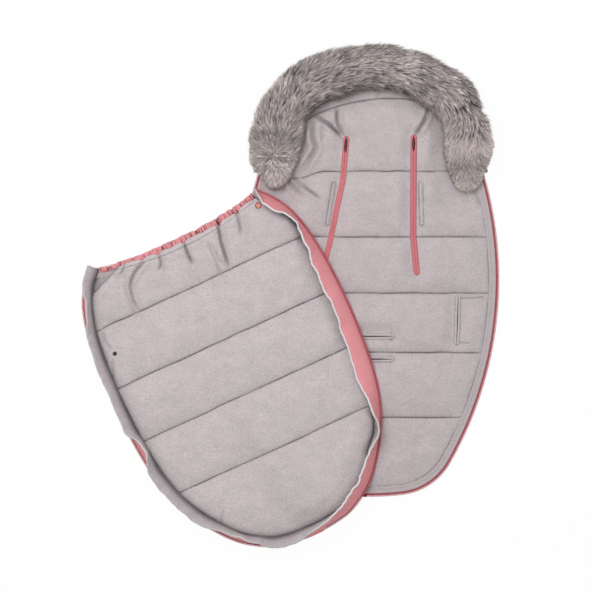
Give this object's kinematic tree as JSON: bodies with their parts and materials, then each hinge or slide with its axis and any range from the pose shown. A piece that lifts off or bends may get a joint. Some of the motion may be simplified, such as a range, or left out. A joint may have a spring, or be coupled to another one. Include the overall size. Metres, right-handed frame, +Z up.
{
  "type": "stroller footmuff",
  "caption": "Quilted footmuff laid open: back pad with a fur-trimmed hood and harness slots, and a zip-off front cover with a gathered hem and a standing draft flap.",
  "frame": {"origin": "on the underside of the back pad, on its centre line, between the hips and the shoulders", "axes": "+Z up out of the fleece side, +Y towards the hood, +X to the child's left as the pad lies open"},
  "size_m": [0.7961, 0.9603, 0.0583],
  "materials": {
    "outer_fabric": "matt woven polyester, coral pink",
    "fleece": "short soft pile, warm light grey",
    "faux_fur": "long-haired faux fur, grey with pale tips",
    "fur_base": "knitted base of the fur",
    "wadding": "white polyester batt",
    "flap_edge": "pale cut edge",
    "zip_coil": "nylon coil, darker coral",
    "zip_enamel": "dark red enamel",
    "elastic": "white braided elastic",
    "copper_stud": "copper-coloured press stud",
    "dark_stud": "small dark stud"
  },
  "bodies": {
    "pad": {"back_shell": "outer_fabric", "back_wadding": "wadding", "back_lining": "fleece", "hood_facing": "fleece", "back_edge_facing": "fleece", "shoulder_slit_binding_right": "outer_fabric", "shoulder_slit_binding_left": "outer_fabric", "waist_slot_facing_right": "fleece", "waist_slot_facing_left": "fleece", "crotch_slot_facing_upper": "fleece", "crotch_slot_facing_lower": "fleece", "shoulder_welt_right": "fleece", "shoulder_welt_left": "fleece", "back_zip_tape_right": "outer_fabric", "back_zip_tape_left": "outer_fabric", "back_zip_teeth_right": "zip_coil", "back_zip_teeth_left": "zip_coil", "zip_box_right": "zip_enamel", "zip_box_left": "zip_enamel", "zip_stop_right": "zip_enamel", "zip_stop_left": "zip_enamel", "fur_trim": "faux_fur", "fur_backing": "fur_base"},
    "slider_right": {"zip_slider_right": "zip_enamel"},
    "slider_left": {"zip_slider_left": "zip_enamel"},
    "puller_right": {"zip_puller_right": "zip_enamel"},
    "puller_left": {"zip_puller_left": "zip_enamel"},
    "cover": {"cover_shell": "outer_fabric", "cover_wadding": "wadding", "cover_lining": "fleece", "draft_flap_lining": "fleece", "draft_flap_shell": "outer_fabric", "draft_flap_edge": "flap_edge", "cover_zip_tape_right": "outer_fabric", "cover_zip_tape_left": "outer_fabric", "cover_zip_teeth_right": "zip_coil", "cover_zip_teeth_left": "zip_coil", "cover_zip_pin_right": "zip_enamel", "cover_zip_pin_left": "zip_enamel", "hem_casing": "outer_fabric", "hem_elastic": "elastic", "corner_stud": "copper_stud", "side_stud": "dark_stud"}
  },
  "joints": [
    {"name": "slider_right_travel", "type": "hinge", "parent": "pad", "child": "slider_right", "pos_m": [-0.4617, 0.04, 0], "axis": [0, 0, 1], "range_deg": [-46, 0]},
    {"name": "slider_left_travel", "type": "hinge", "parent": "pad", "child": "slider_left", "pos_m": [0.4617, 0.04, 0], "axis": [0, 0, 1], "range_deg": [0, 46]},
    {"name": "puller_right_swing", "type": "hinge", "parent": "slider_right", "child": "puller_right", "pos_m": [0.2153, 0.2473, 0.0115], "axis": [0.9562, 0.2928, 0], "range_deg": [0, 180]},
    {"name": "puller_left_swing", "type": "hinge", "parent": "slider_left", "child": "puller_left", "pos_m": [-0.2153, 0.2473, 0.0115], "axis": [0.9562, -0.2928, 0], "range_deg": [0, 180]},
    {"name": "cover_lift_off", "type": "slide", "parent": "pad", "child": "cover", "axis": [0, 0, 1], "range_m": [0, 0.25]}
  ]
}
